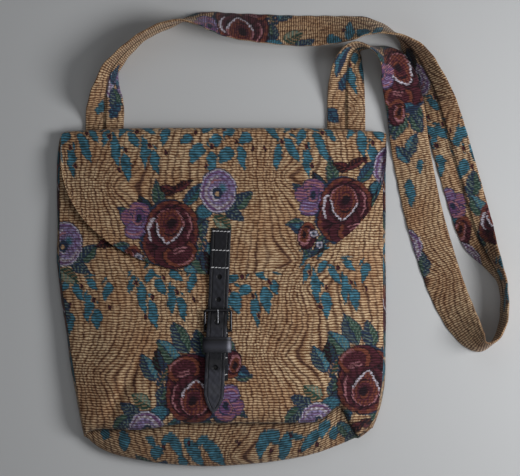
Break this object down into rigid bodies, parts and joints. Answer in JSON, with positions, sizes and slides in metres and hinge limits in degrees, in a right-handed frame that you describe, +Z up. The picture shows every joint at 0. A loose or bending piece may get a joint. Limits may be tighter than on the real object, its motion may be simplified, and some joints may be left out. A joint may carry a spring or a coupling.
{
  "type": "haversack",
  "caption": "Cloth haversack lying on its back, with a rounded flap, a leather buckle closure and a long twisted shoulder strap in the same floral tapestry.",
  "frame": {"origin": "middle of the back panel's flat outer face, on the table", "axes": "+Z up off the table out of the bag's front, +Y towards the flap fold and the mouth, +X to the right as the front is seen"},
  "size_m": [0.4443, 0.4523, 0.0418],
  "materials": {
    "tapestry": "matte",
    "lining_cloth": "matte",
    "black_leather": "satin",
    "dark_metal": "gloss",
    "steel": "satin"
  },
  "bodies": {
    "bag": {"back_panel": "tapestry", "front_panel": "tapestry", "gusset": "tapestry", "flap": "tapestry", "shoulder_strap": "tapestry", "lining_back": "lining_cloth", "lining_front": "lining_cloth", "flap_lining": "lining_cloth", "billet": "black_leather", "buckle_tab": "black_leather", "buckle_frame": "dark_metal"},
    "prong": {"buckle_prong": "steel"},
    "keeper_loop": {"keeper": "black_leather"}
  },
  "joints": [
    {"name": "prong_pivot", "type": "hinge", "parent": "bag", "child": "prong", "pos_m": [-0.005, -0.03126, 0.03344], "axis": [1, 0, 0], "range_deg": [0, 4]},
    {"name": "keeper_slide", "type": "slide", "parent": "bag", "child": "keeper_loop", "axis": [0, 0.9972, -0.0748], "range_m": [-0.003, 0.003]}
  ]
}
